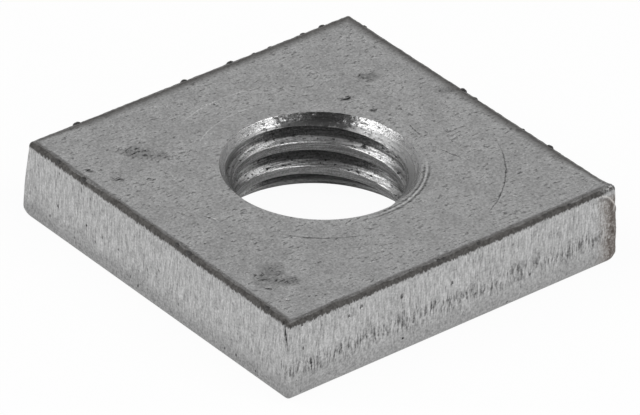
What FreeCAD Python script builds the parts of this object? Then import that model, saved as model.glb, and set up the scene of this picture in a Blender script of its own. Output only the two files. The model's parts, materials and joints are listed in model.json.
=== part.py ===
import FreeCAD, Part
import math
import os

# Square channel nut: one piece of steel plate, cut out of a sheet, drilled, countersunk from
# both faces and tapped right through.
# Frame: origin in the middle of the bottom face, +Z up through the hole, millimetres.

# Plate
plate_width = 22.0         # side of the square, just under the top lip
plate_thickness = 4.9      # nominal 5 mm sheet
wall_flare = 0.12          # how far each cut wall leans out from the top face to the bottom one
corner_radius = 0.2        # the four upright corners
top_edge_radius = 0.27     # lip that the cut left round the top face
bottom_edge_radius = 0.7   # edge that was rolled over round the bottom face

# Hole
hole_offset_x = -0.2       # the hole sits a little off the middle of the plate
hole_offset_y = -0.2
thread_diameter = 10.0     # outside diameter of the screw
thread_pitch = 1.5
flank_angle = 60.0         # angle between the two flanks of the groove
thread_depth = 0.44        # how far the tap cut into the drilled wall
groove_root_width = 0.54   # flat at the bottom of the groove
thread_phase = 0.726       # height of the groove's centre line at the +X side, modulo the pitch
countersink_angle = 90.0   # full angle of the cone, the same from both faces
top_sink_width = 0.765     # how far the top mouth stands outside the drilled wall
bottom_sink_width = 1.41   # the same at the bottom mouth, which was sunk deeper

# Values that follow from the ones above
thread_radius = thread_diameter / 2
bore_radius = thread_radius - thread_depth
top_sink_depth = top_sink_width / math.tan(math.radians(countersink_angle / 2))
bottom_sink_depth = bottom_sink_width / math.tan(math.radians(countersink_angle / 2))
bottom_width = plate_width + 2 * wall_flare
hole_axis = FreeCAD.Vector(hole_offset_x, hole_offset_y, 0)
up = FreeCAD.Vector(0, 0, 1)


def is_level_at(edge, height):
    """True for an edge that lies in the level plane at the given height."""
    return all(abs(vertex.Z - height) < 1e-6 for vertex in edge.Vertexes)


def is_upright(edge):
    """True for an edge that runs from the bottom face to the top one."""
    heights = [vertex.Z for vertex in edge.Vertexes]
    return max(heights) - min(heights) > plate_thickness / 2


def plate_blank():
    """Plate with leaning walls, a round lip above and a rolled edge below."""
    wide = bottom_width / 2
    narrow = plate_width / 2
    blank = Part.makeWedge(
        -wide, 0, -wide, -narrow, -narrow,
        wide, plate_thickness, wide, narrow, narrow)
    blank.rotate(FreeCAD.Vector(0, 0, 0), FreeCAD.Vector(1, 0, 0), 90)
    blank = blank.makeFillet(corner_radius, [edge for edge in blank.Edges if is_upright(edge)])
    bottom_edges = [edge for edge in blank.Edges if is_level_at(edge, 0)]
    blank = blank.makeFillet(bottom_edge_radius, bottom_edges)
    top_edges = [edge for edge in blank.Edges if is_level_at(edge, plate_thickness)]
    return blank.makeFillet(top_edge_radius, top_edges)


def bore_quarter(start_angle):
    """A quarter turn of the drilled hole with its two countersinks, as a cutter."""
    beyond = 1.0
    widening = beyond * math.tan(math.radians(countersink_angle / 2))
    profile = [
        (0, -beyond),
        (bore_radius + bottom_sink_width + widening, -beyond),
        (bore_radius, bottom_sink_depth),
        (bore_radius, plate_thickness - top_sink_depth),
        (bore_radius + top_sink_width + widening, plate_thickness + beyond),
        (0, plate_thickness + beyond)]
    points = [FreeCAD.Vector(radius, 0, height) for radius, height in profile]
    face = Part.Face(Part.makePolygon(points + points[:1]))
    cutter = face.revolve(FreeCAD.Vector(0, 0, 0), up, 90)
    cutter.rotate(FreeCAD.Vector(0, 0, 0), up, start_angle)
    cutter.translate(hole_axis)
    return cutter


def thread_turn():
    """One turn of the tap's groove: a truncated V swept along a right-hand helix."""
    slope = math.tan(math.radians(flank_angle / 2))
    root_half = groove_root_width / 2
    inner_radius = bore_radius - thread_depth
    inner_half = root_half + (thread_radius - inner_radius) * slope
    profile = [
        FreeCAD.Vector(thread_radius, 0, -root_half),
        FreeCAD.Vector(thread_radius, 0, root_half),
        FreeCAD.Vector(inner_radius, 0, inner_half),
        FreeCAD.Vector(inner_radius, 0, -inner_half)]
    section = Part.makePolygon(profile + profile[:1])
    path = Part.Wire(Part.makeHelix(thread_pitch, thread_pitch, thread_radius).Edges)
    return path.makePipeShell([section], True, True)


def thread_cutters():
    """The whole groove, turn by turn, from below the bottom face to above the top one."""
    turns_below = 2
    turns_above = math.ceil(plate_thickness / thread_pitch) + 1
    cutters = []
    for turn in range(-turns_below, turns_above):
        cutter = thread_turn()
        cutter.translate(hole_axis + up * (thread_phase + turn * thread_pitch))
        cutters.append(cutter)
    return cutters


def channel_nut():
    """The finished nut, one solid."""
    nut = plate_blank()
    for start_angle in (45, 135, 225, 315):
        nut = nut.cut(bore_quarter(start_angle))
    for cutter in thread_cutters():
        nut = nut.cut(cutter)
    return nut.Solids[0]


os.makedirs("parts", exist_ok=True)
nut = channel_nut()
print("channel_nut volume", round(nut.Volume, 2), "mm3, valid", nut.isValid())
nut.exportStep("parts/channel_nut.step")
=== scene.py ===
import json
import math

import bmesh
import bpy
from mathutils import Matrix, Vector

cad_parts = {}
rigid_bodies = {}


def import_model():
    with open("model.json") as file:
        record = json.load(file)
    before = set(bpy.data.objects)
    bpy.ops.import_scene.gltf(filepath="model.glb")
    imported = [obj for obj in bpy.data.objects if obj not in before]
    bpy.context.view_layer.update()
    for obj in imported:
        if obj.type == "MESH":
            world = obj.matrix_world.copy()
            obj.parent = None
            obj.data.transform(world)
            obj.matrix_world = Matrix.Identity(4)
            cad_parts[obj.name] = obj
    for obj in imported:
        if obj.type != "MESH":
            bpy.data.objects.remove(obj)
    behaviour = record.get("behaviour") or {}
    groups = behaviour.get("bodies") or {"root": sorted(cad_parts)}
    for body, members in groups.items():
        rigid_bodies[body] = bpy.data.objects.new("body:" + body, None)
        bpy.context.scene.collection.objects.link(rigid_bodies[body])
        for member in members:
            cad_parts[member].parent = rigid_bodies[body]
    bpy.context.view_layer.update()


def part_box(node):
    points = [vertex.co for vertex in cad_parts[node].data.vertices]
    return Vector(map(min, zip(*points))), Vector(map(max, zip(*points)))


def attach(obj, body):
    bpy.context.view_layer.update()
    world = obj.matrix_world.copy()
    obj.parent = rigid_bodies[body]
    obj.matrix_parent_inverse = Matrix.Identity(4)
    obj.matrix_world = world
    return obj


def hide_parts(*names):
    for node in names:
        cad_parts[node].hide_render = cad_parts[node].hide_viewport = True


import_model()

# Square channel nut: one piece of steel plate, cut out of a sheet, drilled, countersunk and tapped.
# The plate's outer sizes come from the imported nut, and the rest is given in millimetres.
# The four corners are called left, front, right and back, as the camera sees them.
MM = 0.001

low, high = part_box("channel_nut")
foot_width = (high[0] - low[0]) / MM          # across the walls at their widest, near the bottom
plate_thickness = (high[2] - low[2]) / MM
wall_flare = 0.12                             # how far each wall leans out from top to bottom
bottom_width = foot_width + 0.035             # the rolled edge takes a little off this width
top_width = bottom_width - 2 * wall_flare
half_width = top_width / 2
upright_radius = 0.14                         # the four upright corners
lip_radius = 0.27                             # round lip that the cut left at the top face
roll_radius = 0.7                             # rolled edge at the bottom face
edge_segments = 6
back_left_draw = 0.12                         # the two far lips stand this much further in
back_right_draw = 0.16
corner_stretch = 0.09                         # how far two corners are drawn out near the bottom

# Hole
hole_x = -0.2
hole_y = -0.2
hole_axis = Vector((hole_x, hole_y, 0))
bore_radius = 4.56
thread_radius = 5.0
thread_pitch = 1.5
groove_root_width = 0.54
root_slant = 0.08                             # the lower edge of the groove's bottom is shallower
flank_slope = math.tan(math.radians(30))      # each flank of the groove, from the level
thread_phase = 0.726                          # height of a groove's middle at the +X side
top_rim_radius = 5.325
bottom_rim_radius = 5.97
sink_slope = math.tan(math.radians(45))       # widening of the countersink for each unit of height
round_steps = 144                             # faces around the hole
hole_far_side = 52.8                          # degrees from +X to the wall that faces the camera


def linear(hex_colour):
    """A colour written as sRGB hex, as the linear colour that the shader works with."""
    channels = []
    for start in (0, 2, 4):
        value = int(hex_colour[start:start + 2], 16) / 255
        channels.append(value / 12.92 if value <= 0.04045 else ((value + 0.055) / 1.055) ** 2.4)
    return (*channels, 1.0)


def add_node(tree, kind, inputs=None, **settings):
    """Adds one node, with its settings, and its inputs as values or as other nodes."""
    node = tree.nodes.new(kind)
    for name, value in settings.items():
        setattr(node, name, value)
    for name, value in (inputs or {}).items():
        if isinstance(value, bpy.types.Node):
            value = value.outputs[0]
        if isinstance(value, bpy.types.NodeSocket):
            tree.links.new(value, node.inputs[name])
        else:
            node.inputs[name].default_value = value
    return node


def new_material(name):
    """An empty material, and the position in millimetres that its patterns are drawn with."""
    material = bpy.data.materials.new(name)
    material.use_nodes = True
    tree = material.node_tree
    tree.nodes.clear()
    place = add_node(tree, "ShaderNodeTexCoord").outputs["Object"]
    place = add_node(tree, "ShaderNodeVectorMath", {0: place, "Scale": 1 / MM}, operation="SCALE")
    return material, tree, place


# Editing helpers

def deselect_everything():
    """Leaves no object selected."""
    for piece in bpy.context.scene.objects:
        piece.select_set(False)


def make_active(piece):
    """Selects one piece alone."""
    deselect_everything()
    piece.select_set(True)
    bpy.context.view_layer.objects.active = piece


def pick(piece, kind, wanted):
    """In edit mode, selects the corners, edges or faces for which wanted() is true."""
    bpy.ops.mesh.select_mode(type=kind)
    bpy.ops.mesh.select_all(action="DESELECT")
    mesh = bmesh.from_edit_mesh(piece.data)
    parts = {"VERT": mesh.verts, "EDGE": mesh.edges, "FACE": mesh.faces}[kind]
    for part in parts:
        if wanted(part):
            part.select_set(True)
    mesh.select_flush_mode()
    bmesh.update_edit_mesh(piece.data)


def apply_modifier(piece, kind, **settings):
    """Adds a modifier with its settings and applies it to the mesh."""
    make_active(piece)
    modifier = piece.modifiers.new(kind.lower(), kind)
    for name, value in settings.items():
        setattr(modifier, name, value)
    bpy.ops.object.modifier_apply(modifier=modifier.name)


def settle(piece):
    """Puts the piece's place, turn and size into its mesh."""
    make_active(piece)
    bpy.ops.object.transform_apply(location=True, rotation=True, scale=True)


# The plate

def is_upright(edge):
    """True for an edge that runs from the bottom to the top."""
    return abs(edge.verts[0].co.z - edge.verts[1].co.z) > plate_thickness * MM / 2


def is_level(edge, height):
    """True for an edge that lies flat at a height in millimetres."""
    return all(abs(corner.co.z - height * MM) < 1e-6 for corner in edge.verts)


def reach_along(edge, axis):
    """How far an edge reaches along an axis, in millimetres."""
    return abs(edge.verts[0].co[axis] - edge.verts[1].co[axis]) / MM


def plate_blank():
    """The cut square with its leaning walls, round lip and rolled edge."""
    deselect_everything()
    bpy.ops.mesh.primitive_cube_add(
        size=MM, location=(0, 0, plate_thickness * MM / 2),
        scale=(bottom_width, bottom_width, plate_thickness))
    plate = bpy.context.active_object
    plate.name = "nut_body"
    settle(plate)
    bpy.ops.object.mode_set(mode="EDIT")
    pick(plate, "VERT", lambda corner: corner.co.z > MM)
    shrink = top_width / bottom_width
    bpy.ops.transform.resize(value=(shrink, shrink, 1), center_override=(0, 0, 0))
    for wanted, radius in (
            (is_upright, upright_radius),
            (lambda edge: is_level(edge, plate_thickness), lip_radius),
            (lambda edge: is_level(edge, 0), roll_radius)):
        pick(plate, "EDGE", wanted)
        bpy.ops.transform.edge_bevelweight(value=radius / roll_radius)
    bpy.ops.object.mode_set(mode="OBJECT")
    apply_modifier(
        plate, "BEVEL", width=roll_radius * MM, segments=edge_segments, limit_method="WEIGHT")
    return plate


def divide_walls(plate):
    """Cuts the walls into a fine grid, and leaves the top and the bottom as one flat face each."""
    ring_width = 0.3
    ring_cuts = 2
    cuts_along = (99, 2)                      # one after the other, which makes 300 columns
    cuts_up = 39
    bpy.ops.object.mode_set(mode="EDIT")
    pick(plate, "FACE", lambda face: abs(face.normal.z) > 0.999)
    bpy.ops.mesh.inset(thickness=ring_width * MM)
    bpy.ops.mesh.delete(type="ONLY_FACE")
    pick(plate, "EDGE", lambda edge: abs(edge.verts[0].co.z - edge.verts[1].co.z) < 1e-7
         and 0.5 * ring_width < reach_along(edge, 0) < 2 * ring_width
         and abs(reach_along(edge, 0) - reach_along(edge, 1)) < 0.01)
    bpy.ops.mesh.subdivide(number_cuts=ring_cuts)
    for axis in (0, 1):
        length = 0.8 * top_width
        for cuts in cuts_along:
            pick(plate, "EDGE", lambda edge: reach_along(edge, axis) > length)
            bpy.ops.mesh.subdivide(number_cuts=cuts)
            length /= cuts + 1
    pick(plate, "EDGE", is_upright)
    bpy.ops.mesh.subdivide(number_cuts=cuts_up)
    for height in (0, plate_thickness):
        pick(plate, "EDGE", lambda edge: edge.is_boundary and is_level(edge, height))
        bpy.ops.mesh.edge_face_add()
    bpy.ops.object.mode_set(mode="OBJECT")


# What the cut left on the walls

def weigh(piece, name, weight):
    """A vertex group whose weights come from the place of each corner, in millimetres."""
    group = piece.vertex_groups.new(name=name)
    for corner in piece.data.vertices:
        share = weight(corner.co / MM)
        if share > 0:
            group.add([corner.index], min(share, 1), "REPLACE")


def roughen(piece, name, weight, depth, size):
    """Moves the weighed corners in and out by a cloud pattern, stretched to the given size."""
    weigh(piece, name, weight)
    clouds = bpy.data.textures.new(name, "CLOUDS")
    clouds.noise_scale = 1.0
    clouds.noise_depth = 2
    ruler = bpy.data.objects.new("ruler", None)
    bpy.context.scene.collection.objects.link(ruler)
    ruler.scale = [length * MM for length in size]
    bpy.context.view_layer.update()
    apply_modifier(
        piece, "DISPLACE", texture=clouds, texture_coords="OBJECT", texture_coords_object=ruler,
        vertex_group=name, strength=depth * MM, mid_level=0.5)
    bpy.data.objects.remove(ruler)
    bpy.data.textures.remove(clouds)


def fade(value, start, end):
    """0 at start and before it, 1 at end and past it."""
    return min(max((value - start) / (end - start), 0), 1)


def wall_share(place):
    """1 on the cut walls between the rolled edge and the lip."""
    outward = max(abs(place.x), abs(place.y))
    return fade(outward, 10.6, 10.9) * fade(place.z, 0.4, 0.9) * fade(place.z, 4.85, 4.6)


def lip_share(place):
    """1 on the lip round the top face."""
    outward = max(abs(place.x), abs(place.y))
    return fade(outward, half_width - 0.5, half_width - 0.25) * fade(place.z, 4.3, 4.6)


def right_corner_share(place):
    """1 at the right-hand corner, where the cut started and the steel melted."""
    distance = math.hypot(place.x - half_width, place.y + half_width)
    return fade(distance, 1.1, 0.2) * fade(place.z, 0.3, 1.2)


def stretch_corner(plate, side, reach):
    """Draws an upright corner out, from nothing at the lip to the full reach near the bottom."""
    outward = Vector((*side, 0)).normalized()
    for corner in plate.data.vertices:
        place = corner.co / MM
        distance = math.hypot(place.x - side[0] * half_width, place.y - side[1] * half_width)
        share = fade(distance, 1.0, 0.1) * fade(place.z, 4.8, 2.0) * fade(place.z, 0.1, 0.8)
        corner.co += outward * reach * share * MM


def crease_corner(plate):
    """Presses the short crease that runs from the lip down to the front corner."""
    start = Vector((-11.0, -10.5, 4.75))
    end = Vector((-11.05, -10.88, 3.35))
    half_breadth = 0.12
    depth = 0.14
    along = end - start
    for corner in plate.data.vertices:
        place = corner.co / MM
        share = min(max((place - start).dot(along) / along.length_squared, 0), 1)
        distance = (place - (start + share * along)).length
        if distance < half_breadth:
            hollow = math.cos(distance / half_breadth * math.pi / 2) ** 2 * (1 - 0.6 * share)
            corner.co -= corner.normal * depth * hollow * MM


def draw_in(plate, axis, reach):
    """Moves the lip on the far side of an axis inwards, with the top of its wall.

    The melted right-hand corner stays where it is.
    """
    for corner in plate.data.vertices:
        place = corner.co / MM
        share = fade(place[axis], 9.5, 10.5) * fade(place.z, 2.5, 4.4)
        share *= fade(place.y, -10.9, -9.9)
        corner.co[axis] -= reach * share * MM


def wear_in(plate):
    """Everything that the cut did to the walls, the lip and the corners."""
    draw_in(plate, 1, back_left_draw)
    draw_in(plate, 0, back_right_draw)
    roughen(plate, "wall_waves", wall_share, 0.05, (2.4, 2.4, 5.0))
    roughen(plate, "wall_striations", wall_share, 0.035, (0.17, 0.17, 1.6))
    roughen(plate, "lip_lumps", lip_share, 0.05, (0.36, 0.36, 0.5))
    roughen(plate, "right_corner", right_corner_share, 0.11, (0.26, 0.26, 0.34))
    for side in ((-1, 1), (1, -1)):
        stretch_corner(plate, side, corner_stretch)
    crease_corner(plate)


# The hole

def tap():
    """The threaded shaft that the tapped bore is the print of: one pitch, screwed upwards."""
    root_half = groove_root_width / 2
    groove_half = root_half + (thread_radius - bore_radius) * flank_slope
    start = thread_phase - 3 * thread_pitch
    crown = hole_axis + Vector((bore_radius, 0, start))
    deselect_everything()
    bpy.ops.mesh.primitive_plane_add(
        size=thread_pitch * MM, location=crown * MM, rotation=(math.pi / 2, 0, 0))
    shaft = bpy.context.active_object
    shaft.name = "tap"
    settle(shaft)
    bpy.ops.object.mode_set(mode="EDIT")
    pick(shaft, "VERT", lambda corner: corner.co.x < crown.x * MM)
    bpy.ops.mesh.delete(type="VERT")
    bpy.ops.mesh.select_all(action="SELECT")
    bpy.ops.transform.translate(value=(-thread_pitch / 2 * MM, 0, 0))
    for height in (-groove_half, -root_half, root_half, groove_half):
        bpy.ops.mesh.select_all(action="SELECT")
        bpy.ops.mesh.bisect(plane_co=(0, 0, (start + height) * MM), plane_no=(0, 0, 1))
    pick(shaft, "VERT", lambda corner: abs(corner.co.z - start * MM) < 1.01 * root_half * MM)
    bpy.ops.transform.translate(value=((thread_radius - bore_radius) * MM, 0, 0))
    pick(shaft, "VERT", lambda corner: abs(corner.co.z - (start - root_half) * MM) < 0.01 * MM)
    bpy.ops.transform.translate(value=(-root_slant * MM, 0, 0))
    bpy.ops.object.mode_set(mode="OBJECT")
    bpy.context.scene.cursor.location = hole_axis * MM
    bpy.ops.object.origin_set(type="ORIGIN_CURSOR")
    turns = math.ceil(plate_thickness / thread_pitch) + 5
    apply_modifier(
        shaft, "SCREW", axis="Z", angle=math.tau, screw_offset=thread_pitch * MM, iterations=turns,
        steps=round_steps, render_steps=round_steps, use_merge_vertices=True, merge_threshold=1e-7)
    settle(shaft)
    bpy.ops.object.mode_set(mode="EDIT")
    for height, outward in ((-1, -1), (plate_thickness + 1, 1)):
        bpy.ops.mesh.select_all(action="SELECT")
        bpy.ops.mesh.bisect(
            plane_co=(0, 0, height * MM), plane_no=(0, 0, outward), use_fill=True, clear_outer=True)
    bpy.ops.mesh.select_all(action="SELECT")
    bpy.ops.mesh.remove_doubles(threshold=1e-7)
    bpy.ops.mesh.normals_make_consistent(inside=False)
    bpy.ops.object.mode_set(mode="OBJECT")
    return shaft


def countersink(name, rim_radius, face_height, outward):
    """A cone that widens out of the face, with its narrow end rounded into the bore."""
    beyond = 1.0
    inner_radius = bore_radius - 0.05
    depth = (rim_radius - inner_radius) / sink_slope
    small_height = face_height - outward * depth
    large_height = face_height + outward * beyond
    deselect_everything()
    bpy.ops.mesh.primitive_cylinder_add(
        vertices=round_steps, radius=inner_radius * MM, depth=MM,
        location=(hole_x * MM, hole_y * MM, (small_height - outward * 0.5) * MM),
        rotation=(0, 0, math.pi / round_steps))
    cutter = bpy.context.active_object
    cutter.name = name
    settle(cutter)
    bpy.ops.object.mode_set(mode="EDIT")
    pick(cutter, "FACE", lambda face: face.normal.z * outward > 0.9)
    bpy.ops.mesh.extrude_region_move(
        TRANSFORM_OT_translate={"value": (0, 0, (large_height - small_height) * MM)})
    widen = (rim_radius + beyond * sink_slope) / inner_radius
    bpy.ops.transform.resize(
        value=(widen, widen, 1), center_override=(hole_x * MM, hole_y * MM, large_height * MM))
    pick(cutter, "EDGE", lambda edge: is_level(edge, small_height))
    bpy.ops.mesh.bevel(offset=0.09 * MM, segments=3, affect="EDGES")
    bpy.ops.mesh.select_all(action="SELECT")
    bpy.ops.mesh.normals_make_consistent(inside=False)
    bpy.ops.object.mode_set(mode="OBJECT")
    return cutter


def cut_away(piece, cutter):
    """Cuts the cutter's shape out of the piece."""
    apply_modifier(piece, "BOOLEAN", operation="DIFFERENCE", solver="EXACT", object=cutter)
    bpy.data.objects.remove(cutter)


def is_rolled_face(face):
    """True on what is left of the sheet's own two faces."""
    return abs(face.normal.z) > 0.985 and (
        face.calc_center_median().z > 4.88 * MM or face.calc_center_median().z < 0.02 * MM)


def is_in_hole(face):
    """True on the bore, the grooves and the two countersinks."""
    centre = face.calc_center_median() / MM
    return math.hypot(centre.x - hole_x, centre.y - hole_y) < 0.98 * bottom_rim_radius


def nut_body():
    """The whole nut: cut, worn, tapped and countersunk, with a finish for each kind of face."""
    nut = plate_blank()
    divide_walls(nut)
    wear_in(nut)
    cut_away(nut, tap())
    cut_away(nut, countersink("top_sink", top_rim_radius, plate_thickness, 1))
    cut_away(nut, countersink("bottom_sink", bottom_rim_radius, 0, -1))
    make_active(nut)
    bpy.ops.object.shade_smooth_by_angle(angle=math.radians(25))
    for finish in (cut_wall(), rolled_skin(), tapped_bore()):
        nut.data.materials.append(finish)
    bpy.ops.object.mode_set(mode="EDIT")
    for number, wanted in ((2, is_in_hole), (1, is_rolled_face)):
        pick(nut, "FACE", wanted)
        nut.active_material_index = number
        bpy.ops.object.material_slot_assign()
    bpy.ops.object.mode_set(mode="OBJECT")
    return nut


# Beads of dross that the cut threw onto the lip: place along the edge, and radius
back_left_beads = (
    (-7.87, 0.17), (-0.66, 0.16), (2.49, 0.17), (4.14, 0.1), (5.25, 0.11), (7.54, 0.13), (8.87, 0.15))
back_right_beads = ((9.38, 0.11), (1.09, 0.17), (0.1, 0.12), (-3.84, 0.1), (-6.03, 0.16))
front_left_beads = ((8.38, 0.13), (6.23, 0.15), (-1.67, 0.13), (-2.67, 0.15), (-9.07, 0.13))
front_right_beads = (
    (-2.08, 0.09), (-1.07, 0.11), (-0.7, 0.1), (1.63, 0.11), (6.23, 0.1), (7.82, 0.1))


def dross_bead(name, centre, radius, along):
    """One bead, longer along the edge that it sits on."""
    scale = [1.05, 1.05, 0.9]
    scale[along] = 1.5
    deselect_everything()
    bpy.ops.mesh.primitive_ico_sphere_add(
        subdivisions=3, radius=radius * MM, location=centre * MM, scale=scale)
    bead = bpy.context.active_object
    bead.name = name
    settle(bead)
    roughen(bead, "lumps", lambda place: 1, 0.35 * radius, (radius, radius, radius))
    bpy.ops.object.shade_smooth()
    return bead


def lip_dross():
    """All the beads, sunk into the lip, as one piece."""
    sunk = 0.12
    edge = half_width - sunk
    height = plate_thickness - sunk
    beads = []
    for spots, axis, place in (
            (back_left_beads, 0, lambda along: Vector((along, edge - back_left_draw, height))),
            (back_right_beads, 1, lambda along: Vector((edge - back_right_draw, along, height))),
            (front_left_beads, 1, lambda along: Vector((-edge, along, height))),
            (front_right_beads, 0, lambda along: Vector((along, -edge, height)))):
        for along, radius in spots:
            beads.append(dross_bead("lip_dross", place(along), radius, axis))
    deselect_everything()
    for bead in beads:
        bead.select_set(True)
    bpy.context.view_layer.objects.active = beads[0]
    bpy.ops.object.join()
    beads[0].name = "lip_dross"
    beads[0].data.materials.clear()
    beads[0].data.materials.append(oxide_dross())
    return beads[0]


# Finishes

def ramp(tree, value, start, end, at_start=0, at_end=1, **settings):
    """A value that runs from at_start to at_end while the given one runs from start to end."""
    return add_node(tree, "ShaderNodeMapRange", {
        "Value": value, "From Min": start, "From Max": end, "To Min": at_start, "To Max": at_end},
        **settings)


def product(tree, value, *others):
    """All the values multiplied together."""
    for other in others:
        value = add_node(tree, "ShaderNodeMath", {0: value, 1: other}, operation="MULTIPLY")
    return value


def strongest(tree, masks):
    """The largest of several masks at each point."""
    result = masks[0]
    for mask in masks[1:]:
        result = add_node(tree, "ShaderNodeMath", {0: result, 1: mask}, operation="MAXIMUM")
    return result


def without(tree, mask, other):
    """The mask, less the other one and never below 0."""
    return add_node(
        tree, "ShaderNodeMath", {0: mask, 1: other}, operation="SUBTRACT", use_clamp=True)


def apart(tree, value, level):
    """How far the value is from a level, on either side."""
    difference = add_node(tree, "ShaderNodeMath", {0: value, 1: level}, operation="SUBTRACT")
    return add_node(tree, "ShaderNodeMath", {0: difference}, operation="ABSOLUTE")


def noise(tree, place, size, detail, roughness=0.5):
    """A cloudy pattern with patches of about the given size."""
    return add_node(tree, "ShaderNodeTexNoise", {
        "Vector": place, "Scale": 1 / size, "Detail": detail, "Roughness": roughness})


def stretched(tree, place, size, turn=(0, 0, 0)):
    """The place, turned by three angles and scaled for a pattern with patches of this size."""
    return add_node(tree, "ShaderNodeMapping", {
        "Vector": place, "Rotation": [math.radians(angle) for angle in turn],
        "Scale": [1 / length for length in size]})


def layered(tree, value, layers):
    """The value with each layer on top, as a mask and its strength."""
    for mask, strength in layers:
        value = add_node(tree, "ShaderNodeMath", {
            0: mask, 1: strength, 2: value}, operation="MULTIPLY_ADD")
    return value


def blend(tree, share, first, second):
    """The first colour turned into the second by a share, each in hex or from a node."""
    first, second = (
        linear(colour) if isinstance(colour, str) else colour for colour in (first, second))
    mixed = add_node(tree, "ShaderNodeMix", {
        "Factor": share, 6: first, 7: second}, data_type="RGBA")
    return mixed.outputs[2]


def tinted(tree, colour, tints):
    """The colour with each tint laid over it, as a mask and a hex colour."""
    for mask, tint in tints:
        colour = blend(tree, mask, colour, tint)
    return colour


def surface(tree, colour, metallic, roughness, height, depth, specular=0.5):
    """A surface with a relief that follows the height pattern, its depth in millimetres."""
    relief = add_node(tree, "ShaderNodeBump", {
        "Height": height, "Distance": depth * MM, "Strength": 1.0})
    return add_node(tree, "ShaderNodeBsdfPrincipled", {
        "Base Color": colour, "Metallic": metallic, "Roughness": roughness, "Normal": relief,
        "Specular IOR Level": specular})


def oval_mark(tree, place, centre, size, turn=0, tilt=0):
    """1 in the middle of a soft oval and 0 outside it. The size is its half lengths.

    It is turned about the upright axis, or tilted about the X axis.
    """
    inside = add_node(tree, "ShaderNodeMapping", {
        "Vector": place, "Location": centre,
        "Rotation": (math.radians(tilt), 0, math.radians(turn)),
        "Scale": size}, vector_type="TEXTURE")
    distance = add_node(tree, "ShaderNodeVectorMath", {0: inside}, operation="LENGTH")
    return ramp(tree, distance.outputs["Value"], 1.0, 0.45)


def wander(tree, place, size, reach):
    """The place, pushed about by a noise, so that what is drawn with it has irregular outlines."""
    push = noise(tree, place, size, 3.0)
    push = add_node(tree, "ShaderNodeVectorMath", {
        0: push.outputs["Color"], 1: (0.5, 0.5, 0.5)}, operation="SUBTRACT")
    push = add_node(tree, "ShaderNodeVectorMath", {0: push, "Scale": reach}, operation="SCALE")
    return add_node(tree, "ShaderNodeVectorMath", {0: place, 1: push}, operation="ADD")


def axis_distance(tree, place, axis):
    """Distance from an upright axis, in millimetres, and the flat offset it is measured on."""
    offset = add_node(tree, "ShaderNodeVectorMath", {0: place, 1: axis}, operation="SUBTRACT")
    flat = add_node(tree, "ShaderNodeVectorMath", {0: offset, 1: (1, 1, 0)}, operation="MULTIPLY")
    length = add_node(tree, "ShaderNodeVectorMath", {0: flat}, operation="LENGTH")
    return length.outputs["Value"], flat


def arc_mark(tree, distance, flat, radius, half_breadth, middle, reach):
    """Part of a thin ring round an axis. Middle and reach are angles in degrees."""
    ring = ramp(tree, apart(tree, distance, radius), half_breadth, 0.3 * half_breadth)
    aim = math.radians(middle)
    facing = add_node(tree, "ShaderNodeVectorMath", {0: flat}, operation="NORMALIZE")
    facing = add_node(tree, "ShaderNodeVectorMath", {
        0: facing, 1: (math.cos(aim), math.sin(aim), 0)}, operation="DOT_PRODUCT")
    stretch = ramp(
        tree, facing.outputs["Value"],
        math.cos(math.radians(reach)), math.cos(math.radians(0.6 * reach)))
    return product(tree, ring, stretch)


def edge_distance(tree, place):
    """Distance in from the nearest side of the top face, in millimetres."""
    shift = (back_left_draw + back_right_draw) / 4
    centred = add_node(tree, "ShaderNodeVectorMath", {0: place, 1: (shift, shift, 0)}, operation="ADD")
    size = add_node(tree, "ShaderNodeVectorMath", {0: centred}, operation="ABSOLUTE")
    axes = add_node(tree, "ShaderNodeSeparateXYZ", {"Vector": size})
    outward = add_node(tree, "ShaderNodeMath", {
        0: axes.outputs["X"], 1: axes.outputs["Y"]}, operation="MAXIMUM")
    return add_node(tree, "ShaderNodeMath", {
        0: half_width - shift, 1: outward}, operation="SUBTRACT")


def right_corner_distance(tree, place):
    """Distance from the upright edge at the right-hand corner, in millimetres."""
    return axis_distance(tree, place, (half_width, -half_width, 0))[0]


def scorched_edge(tree, place, wobble):
    """1 where the cut scorched the lip and the top face beside it, less on a thin worn line.

    The scorch reaches further in on the two far sides than on the near ones, and it is broken
    up at the melted right-hand corner.
    """
    inward = layered(tree, edge_distance(tree, place), [(wobble, -0.35)])
    away = add_node(tree, "ShaderNodeVectorMath", {0: place, 1: (1, 1, 0)}, operation="DOT_PRODUCT")
    narrowing = ramp(tree, away.outputs["Value"], -3.0, 3.0, 2.4, 0.65)
    band = ramp(tree, product(tree, inward, narrowing), 0.52, 0.0, interpolation_type="SMOOTHSTEP")
    line = ramp(tree, apart(tree, inward, 0.02), 0.08, 0.04, 0, -0.3)
    lined = add_node(tree, "ShaderNodeMath", {0: band, 1: line}, use_clamp=True)
    specks = ramp(tree, noise(tree, place, 0.13, 3.0, 0.6), 0.42, 0.58)
    melted = ramp(tree, right_corner_distance(tree, place), 1.1, 0.5)
    unbroken = layered(tree, 1.0, [(product(tree, specks, melted), -0.8)])
    return product(tree, lined, unbroken)


def scorched_steel(tree, place, scorch, metal):
    """The bare metal, covered by a dull, lumpy grey-black oxide skin where it is scorched."""
    lumps = noise(tree, place, 0.2, 4.0, 0.65)
    crust = ramp(tree, lumps, 0.35, 0.65)
    colour = blend(tree, crust, "33312F", "595755")
    oxide = surface(
        tree, colour, metallic=0, roughness=0.6, height=lumps, depth=0.05, specular=0.3)
    both = add_node(tree, "ShaderNodeMixShader", {0: scorch, 1: metal, 2: oxide})
    add_node(tree, "ShaderNodeOutputMaterial", {"Surface": both})


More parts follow.
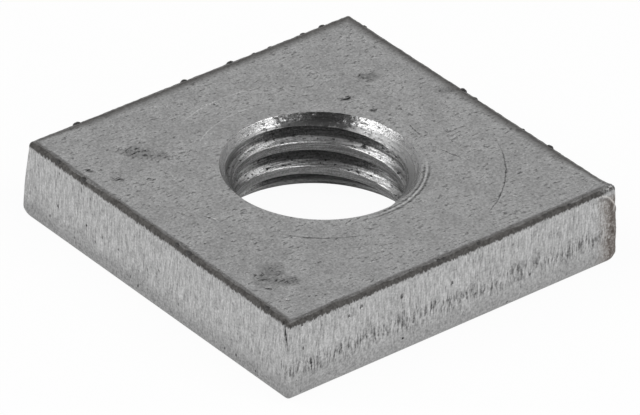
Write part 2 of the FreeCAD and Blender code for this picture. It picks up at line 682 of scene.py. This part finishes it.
# Marks on the top face: place, half length, half breadth, and turn in degrees
smudge_spots = (
    (-9.0, -6.8, 1.35, 0.95, 30), (-8.5, -7.9, 0.8, 0.55, -40), (-7.1, 6.4, 1.4, 0.75, -50),
    (-6.4, 5.5, 0.7, 0.5, -50), (5.15, 4.15, 0.5, 0.25, -20), (7.4, 5.2, 0.9, 0.5, -40),
    (10.0, 1.5, 0.7, 0.4, -40))
scuff_spots = (
    (-10.25, 6.62, 0.45, 0.2, -52), (-9.55, 5.05, 0.5, 0.26, -48), (-9.75, -7.89, 0.4, 0.12, -40),
    (-8.15, 4.0, 0.35, 0.16, -48), (5.6, 2.32, 0.5, 0.22, -17), (5.15, 4.14, 0.4, 0.25, -17))
scratch_spots = (
    (-8.06, -0.72, 0.55, 0.07, -69), (-5.14, -5.35, 0.45, 0.07, -41),
    (6.03, -0.5, 0.9, 0.045, 80), (6.0, -3.3, 1.2, 0.045, -75))
pit_spots = (
    (-8.65, 1.17, 0.09, 0.09, 0), (-8.49, -3.2, 0.11, 0.08, 0), (-9.71, -9.21, 0.11, 0.11, 0),
    (-0.86, 7.9, 0.09, 0.09, 0), (-2.23, 8.94, 0.09, 0.07, 0), (6.79, 1.53, 0.09, 0.09, 0),
    (-9.78, -2.53, 0.09, 0.07, 0))


def top_marks(tree, place, spots):
    """A soft oval on the top face for each spot."""
    depth = 3.0
    return [
        oval_mark(tree, place, (x, y, plate_thickness), (length, breadth, depth), turn)
        for x, y, length, breadth, turn in spots]


def rolled_skin():
    """Hot-rolled, pickled plate: dull mottled grey, with smudges, short scratches and rub rings."""
    material, tree, place = new_material("pickled_rolled_steel")
    grain = noise(tree, place, 0.13, 3.0, 0.65)
    cloud = noise(tree, place, 1.5, 5.0, 0.62)
    flecks = noise(tree, stretched(tree, place, (0.42, 0.15, 1), (0, 0, 40)), 1, 3.0, 0.6)
    gathered = layered(tree, flecks, [(cloud, 0.35)])
    dashes = ramp(tree, gathered, 0.75, 0.8)
    glints = ramp(tree, gathered, 0.57, 0.5)
    blots = ramp(tree, cloud, 0.4, 0.58)
    smudges = strongest(tree, top_marks(tree, wander(tree, place, 0.5, 0.9), smudge_spots))
    smudges = product(tree, smudges, ramp(tree, flecks, 0.35, 0.62, 0.65, 1))
    scored = wander(tree, place, 0.2, 0.22)
    strokes = noise(tree, stretched(tree, place, (0.45, 0.09, 1), (0, 0, 48)), 1, 2.0)
    strokes = ramp(tree, strokes, 0.43, 0.49)
    scuffs = product(tree, strongest(tree, top_marks(tree, scored, scuff_spots)), strokes)
    scratches = strongest(tree, [
        scuffs, *top_marks(tree, scored, scratch_spots), *top_marks(tree, place, pit_spots)])
    distance, flat = axis_distance(tree, wander(tree, place, 0.3, 0.14), hole_axis)
    dark_rings = strongest(tree, [
        arc_mark(tree, distance, flat, 9.75, 0.05, -45, 24),
        arc_mark(tree, distance, flat, 7.1, 0.05, -127, 20),
        arc_mark(tree, distance, flat, 5.49, 0.08, -66, 34),
        arc_mark(tree, distance, flat, 5.74, 0.09, -70, 38)])
    light_rings = strongest(tree, [
        arc_mark(tree, distance, flat, 6.7, 0.06, 103, 24),
        arc_mark(tree, distance, flat, 5.61, 0.07, -64, 36),
        arc_mark(tree, distance, flat, 8.3, 0.05, 95, 20)])
    tone = layered(tree, 0.22, [
        (grain, 1.6), (blots, 0.17), (dashes, -0.5), (glints, 0.18), (smudges, -0.48),
        (scratches, -0.8), (dark_rings, -0.62), (light_rings, 0.38)])
    skin = add_node(tree, "ShaderNodeVectorMath", {
        0: linear("BCBCBC")[:3], "Scale": tone}, operation="SCALE")
    marks = layered(tree, grain, [(scratches, -5.0), (dashes, -2.5)])
    steel = surface(tree, skin, metallic=1, roughness=0.46, height=marks, depth=0.012)
    scorched_steel(tree, place, scorched_edge(tree, place, cloud), steel)
    return material


# Pits in the two near walls: place along the wall, height, half breadth and half height
front_right_pits = (
    (-3.57, 3.65, 0.13, 0.18), (-6.26, 4.08, 0.13, 0.14), (-7.08, 3.84, 0.1, 0.12),
    (-10.2, 4.5, 0.09, 0.08), (-0.15, 3.15, 0.1, 0.14), (-3.46, 1.06, 0.09, 0.1))
front_left_pits = (
    (8.22, 2.22, 0.09, 0.13), (3.03, 2.16, 0.08, 0.12), (5.75, 2.27, 0.07, 0.1),
    (6.26, 4.21, 0.07, 0.22), (8.19, 4.22, 0.06, 0.12))


def torn_band(tree, place, axes, cloud):
    """1 on short tears along the walls, at about two fifths of their height.

    They are strong on the front right wall and faint on the others.
    """
    tears = noise(tree, stretched(tree, place, (0.11, 0.11, 0.55), (0, 12, 0)), 1, 2.0)
    tears = ramp(tree, tears, 0.5, 0.6)
    from_middle = layered(tree, apart(tree, axes.outputs["Z"], 2.0), [(cloud, 1.1)])
    band = ramp(tree, from_middle, 1.3, 0.7)
    front_right = ramp(tree, axes.outputs["Y"], -10.7, -10.9, 0.25, 1)
    return product(tree, tears, band, front_right)


def melted_corner(tree, place, height, unevenness):
    """Tints for the right-hand corner, where the cut started and the steel melted.

    It is rusty, with a ragged dark rim. Below the lip the melted steel curled over; under the curl
    lies a painted shadow arc, inside a painted highlight arc.
    """
    distance = right_corner_distance(tree, place)
    uneven_distance = layered(tree, distance, unevenness)
    below_lip = ramp(tree, height, 4.5, 4.1)
    rust = product(tree, ramp(tree, uneven_distance, 2.8, 1.8, 0, 0.6), below_lip)
    polished = ramp(tree, distance, 0.3, 0.16, 0, 0.25)
    rim = without(tree, ramp(tree, uneven_distance, 2.1, 1.6, 0, 0.8), polished)
    rim = product(tree, rim, below_lip)
    curl_centre = (9.9, 3.5, 0)
    uneven = add_node(tree, "ShaderNodeSeparateXYZ", {"Vector": wander(tree, place, 0.3, 0.25)})
    from_curl = add_node(tree, "ShaderNodeCombineXYZ", {
        "X": uneven.outputs["X"], "Y": uneven.outputs["Z"]})
    curl_distance, from_curl = axis_distance(tree, from_curl, curl_centre)
    at_corner = ramp(tree, distance, 2.0, 1.6, 0, 0.55)
    # Painted shadow under the curled steel, and a painted highlight along it
    dark_curl = arc_mark(tree, curl_distance, from_curl, 0.84, 0.16, 45, 62)
    bright_curl = arc_mark(tree, curl_distance, from_curl, 1.02, 0.07, 45, 58)
    return [
        (rust, "786C62"), (rim, "4C4541"),
        (product(tree, dark_curl, at_corner), "5C5652"),
        (product(tree, bright_curl, at_corner), "E0DCD8")]


def cut_wall():
    """Thermally cut edge of the plate: bright upright striations under a dark scorched lip."""
    material, tree, place = new_material("thermally_cut_steel")
    axes = add_node(tree, "ShaderNodeSeparateXYZ", {"Vector": place})
    height = axes.outputs["Z"]
    striations = noise(tree, stretched(tree, place, (0.1, 0.1, 0.6)), 1, 3.0, 0.6)
    grain = noise(tree, place, 0.12, 3.0, 0.65)
    cloud = noise(tree, place, 1.8, 3.0, 0.55)
    tears = torn_band(tree, place, axes, cloud)
    pits = add_node(tree, "ShaderNodeTexVoronoi", {
        "Vector": stretched(tree, place, (0.7, 0.7, 1)), "Scale": 1.0})
    pits = ramp(tree, pits.outputs["Distance"], 0.13, 0.07)
    # Painted shade in the crease at the front corner: a dark oval in the colour, and a dip in the
    # relief
    crease = oval_mark(tree, place, (-11.02, -10.69, 4.05), (0.3, 0.085, 1.05), 0, -15)
    spots = strongest(tree, [crease] + [
        oval_mark(tree, place, (along, -half_width, up), (breadth, 1, tall))
        for along, up, breadth, tall in front_right_pits] + [
        oval_mark(tree, place, (-half_width, along, up), (1, breadth, tall))
        for along, up, breadth, tall in front_left_pits])
    # Lower down the striations run out and the walls are darker, and the foot of the front left wall
    # gets painted shade for the floor's shadow that it mirrors
    smooth = ramp(tree, layered(tree, height, [(cloud, 0.8)]), 2.3, 1.3)
    front_left = ramp(tree, axes.outputs["X"], -10.7, -10.9)
    foot = product(tree, ramp(tree, height, 1.5, 0.5), front_left)
    striated = add_node(tree, "ShaderNodeMath", {0: striations, 1: 0.5}, operation="SUBTRACT")
    striated = product(tree, striated, ramp(tree, smooth, 0, 1, 1.95, 0.5))
    tone = layered(tree, 0.28, [
        (grain, 1.5), (striated, 1.0), (cloud, 0.16), (smooth, -0.26), (foot, -0.14),
        (tears, -0.6), (pits, -0.5), (spots, -0.75)])
    steel_colour = add_node(tree, "ShaderNodeVectorMath", {
        0: linear("A9A9A9")[:3], "Scale": tone}, operation="SCALE")
    # The lip is scorched down to a ragged line, a hair below where its rounding starts
    above_line = ramp(tree, layered(tree, height, [(striations, 0.6)]), 4.84, 4.92)
    scorch = product(tree, above_line, scorched_edge(tree, place, cloud))
    unevenness = [(cloud, 1.0), (striations, 0.6), (grain, 1.4)]
    coloured = tinted(tree, steel_colour, melted_corner(tree, place, height, unevenness))
    height_map = layered(tree, grain, [(striated, 1.15), (spots, -3.0), (tears, -1.5)])
    steel = surface(tree, coloured, metallic=1, roughness=0.42, height=height_map, depth=0.02)
    scorched_steel(tree, place, scorch, steel)
    return material


def sink_marks(tree, distance, flat, height, blotches):
    """Painted shade at the back of the upper countersink, and painted shade dimming its two sides."""
    sink_middle = 5.06
    high = ramp(tree, height, 4.24, 4.3)
    soot = arc_mark(tree, distance, flat, sink_middle, 0.6, hole_far_side, 31)
    soot = ramp(tree, layered(tree, soot, blotches), 1.95, 2.4)
    dull_sides = strongest(tree, [
        arc_mark(tree, distance, flat, sink_middle, 1.2, middle, reach)
        for middle, reach in ((-20, 52), (132, 54))])
    return product(tree, soot, high), product(tree, dull_sides, high, 0.8)


def tapped_bore():
    """Drilled, sunk and tapped steel: turned rings with torn specks, and painted shade in the grooves.
    """
    material, tree, place = new_material("drilled_tapped_steel")
    distance, flat = axis_distance(tree, place, hole_axis)
    height = add_node(tree, "ShaderNodeSeparateXYZ", {"Vector": place}).outputs["Z"]
    centred = add_node(tree, "ShaderNodeVectorMath", {0: place, 1: hole_axis}, operation="SUBTRACT")
    rings = noise(tree, stretched(tree, centred, (2.2, 2.2, 0.075)), 1, 4.0, 0.68)
    grain = noise(tree, place, 0.1, 3.0, 0.6)
    streaks = ramp(tree, layered(tree, rings, [(grain, 0.6)]), 0.7, 0.9)
    stain = noise(tree, centred, 0.35, 3.0, 0.6)
    # Specks and chips that the tap tore out of the grooves
    torn = noise(tree, stretched(tree, centred, (0.22, 0.22, 0.08)), 1, 2.0)
    torn = ramp(tree, torn, 0.61, 0.67)
    ragged = wander(tree, place, 0.15, 0.3)
    chips = strongest(tree, [
        oval_mark(tree, ragged, (4.31, 1.45, 3.52), (0.12, 0.45, 0.14), 18, -22),
        oval_mark(tree, ragged, (-0.1, 4.6, 4.33), (0.14, 0.2, 0.09)),
        oval_mark(tree, ragged, (1.7, 4.2, 4.0), (0.12, 0.12, 0.08))])
    # The drilled wall between the grooves is smooth; painted shade darkens the bottom of a groove at
    # the back
    crest = ramp(tree, distance, bore_radius + 0.06, bore_radius + 0.02)
    blurred = layered(tree, distance, [(rings, 0.3)])
    deep = ramp(tree, blurred, thread_radius - 0.12, thread_radius + 0.1)
    inside = ramp(tree, apart(tree, height, plate_thickness / 2), 2.12, 2.0)
    at_back = arc_mark(tree, distance, flat, thread_radius, 0.2, hole_far_side, 55)
    striped = ramp(tree, streaks, 0, 1, 1.0, 0.72)
    dark_root = product(tree, deep, inside, at_back, striped)
    in_groove = without(tree, inside, crest)
    # Painted shade on the groove flanks, in three arcs round the hole
    flank_back = strongest(tree, [
        arc_mark(tree, distance, flat, 4.8, 0.9, middle, reach)
        for middle, reach in ((hole_far_side, 37), (-35, 38), (140, 36))])
    dark_flank = product(tree, in_groove, flank_back, 0.75)
    blotches = [(stain, 2.0), (grain, 1.2)]
    soot, dull_sides = sink_marks(tree, distance, flat, height, blotches)
    turned_steel = blend(tree, streaks, "9C9C9C", "F8F8F8")
    drilled_steel = blend(tree, streaks, "888888", "B6B6B6")
    torn = strongest(tree, [without(tree, torn, crest), chips])
    # The flank, root, countersink back and countersink side tints below are painted shade
    colour = tinted(tree, blend(tree, crest, turned_steel, drilled_steel), [
        (dark_flank, "5A5A5A"), (dark_root, "404040"), (torn, "3A3A3A"), (dull_sides, "A4A4A4"),
        (soot, "4C4C4C")])
    ring_depth = ramp(tree, crest, 0, 1, 2.6, 1.8)
    height_map = layered(tree, grain, [(rings, ring_depth), (torn, -2.0)])
    rough = ramp(tree, in_groove, 0, 1, 0.27, 0.47)
    steel = surface(tree, colour, metallic=1, roughness=rough, height=height_map, depth=0.014)
    add_node(tree, "ShaderNodeOutputMaterial", {"Surface": steel})
    return material


def oxide_dross():
    """Beads of burnt steel: nearly black oxide with a dull gloss."""
    material, tree, place = new_material("burnt_steel_dross")
    crust = noise(tree, place, 0.08, 3.0)
    colour = blend(tree, crust, "141414", "3C3A39")
    burnt = surface(tree, colour, metallic=0, roughness=0.45, height=crust, depth=0.02)
    add_node(tree, "ShaderNodeOutputMaterial", {"Surface": burnt})
    return material


# Light, floor and camera

def white_floor():
    """Pale paper. The camera sees it as a white background that keeps the nut's soft shadow.

    In reflections it is as white, apart from the patch under the nut, which no light reaches.
    """
    background_share = 0.95
    floor_size = 3
    gap_below_nut = 0.02
    deselect_everything()
    bpy.ops.mesh.primitive_plane_add(size=floor_size, location=(0, 0, -gap_below_nut * MM))
    floor = bpy.context.active_object
    floor.name = "floor"
    material, tree, place = new_material("white_paper")
    paper = add_node(tree, "ShaderNodeBsdfDiffuse", {"Color": linear("ECECEC")})
    shown = add_node(tree, "ShaderNodeEmission", {"Color": linear("FFFFFF"), "Strength": 1.0})
    ray = add_node(tree, "ShaderNodeLightPath")
    open_floor = ramp(tree, edge_distance(tree, place), 0.8, -0.4)
    mirrored = product(tree, ray.outputs["Is Glossy Ray"], open_floor)
    seen = strongest(tree, [
        ray.outputs["Is Camera Ray"], mirrored, ray.outputs["Is Transmission Ray"]])
    share = product(tree, seen, background_share)
    both = add_node(tree, "ShaderNodeMixShader", {0: share, 1: paper, 2: shown})
    add_node(tree, "ShaderNodeOutputMaterial", {"Surface": both})
    floor.data.materials.append(material)


def camera_directions():
    """The photograph's view: right, up and back directions of the camera."""
    azimuth = math.radians(-40.15)
    elevation = math.radians(32.48)
    roll = math.radians(1.764)
    back = Vector((
        math.sin(azimuth) * math.cos(elevation),
        -math.cos(azimuth) * math.cos(elevation),
        math.sin(elevation)))
    level_right = Vector((0, 0, 1)).cross(back).normalized()
    level_up = back.cross(level_right)
    right = math.cos(roll) * level_right + math.sin(roll) * level_up
    up = math.cos(roll) * level_up - math.sin(roll) * level_right
    return right, up, back


def photo_camera():
    """The camera that was fitted to the photograph's edges and corners, in millimetres."""
    right, up, back = camera_directions()
    distance = 371.017
    aim_right = 0.090
    aim_up = 1.751
    focal_pixels = 7012.18                    # focal length in pixels of the photograph
    image_width = 640
    camera = bpy.data.cameras.new("camera")
    camera.sensor_width = 36
    camera.lens = focal_pixels * camera.sensor_width / image_width
    camera.clip_start = 0.01
    holder = bpy.data.objects.new("camera", camera)
    bpy.context.scene.collection.objects.link(holder)
    holder.rotation_mode = "QUATERNION"
    holder.rotation_quaternion = Matrix((right, up, back)).transposed().to_quaternion()
    holder.location = MM * (distance * back + aim_right * right + aim_up * up)
    bpy.context.scene.camera = holder


def softbox(name, azimuth, elevation, width, height, power):
    """A soft lamp that looks at the nut. Azimuth counts from the camera, positive to the right."""
    back = camera_directions()[2]
    turn = math.atan2(back.y, back.x) + math.radians(azimuth)
    rise = math.radians(elevation)
    distance = 0.5
    towards = Vector((
        math.cos(turn) * math.cos(rise), math.sin(turn) * math.cos(rise), math.sin(rise)))
    lamp = bpy.data.lights.new(name, "AREA")
    lamp.shape = "RECTANGLE"
    lamp.size = width
    lamp.size_y = height
    lamp.energy = power
    holder = bpy.data.objects.new(name, lamp)
    bpy.context.scene.collection.objects.link(holder)
    holder.location = distance * towards
    holder.rotation_mode = "QUATERNION"
    holder.rotation_quaternion = towards.to_track_quat("Z", "Y")


def studio_light():
    """Two soft lamps beside the camera, in a room that is pale around and dark overhead."""
    softbox("softbox_left", azimuth=-72, elevation=46, width=0.34, height=0.28, power=1.15)
    softbox("softbox_right", azimuth=61, elevation=46, width=0.32, height=0.28, power=1.05)
    world = bpy.data.worlds.new("studio")
    world.use_nodes = True
    tree = world.node_tree
    tree.nodes.clear()
    way = add_node(tree, "ShaderNodeTexCoord").outputs["Generated"]
    rise = add_node(tree, "ShaderNodeSeparateXYZ", {"Vector": way}).outputs["Z"]
    overhead = ramp(tree, rise, 0.45, 0.95)
    room = blend(tree, overhead, "D2D2D2", "5A5A5A")
    air = add_node(tree, "ShaderNodeBackground", {"Color": room, "Strength": 1.0})
    add_node(tree, "ShaderNodeOutputWorld", {"Surface": air})
    bpy.context.scene.world = world


bpy.context.scene.view_settings.view_transform = "Standard"
photo_camera()
studio_light()
white_floor()
for piece, stands_for in ((nut_body(), "channel_nut"), (lip_dross(), None)):
    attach(piece, "root")
    if stands_for:
        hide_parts(stands_for)
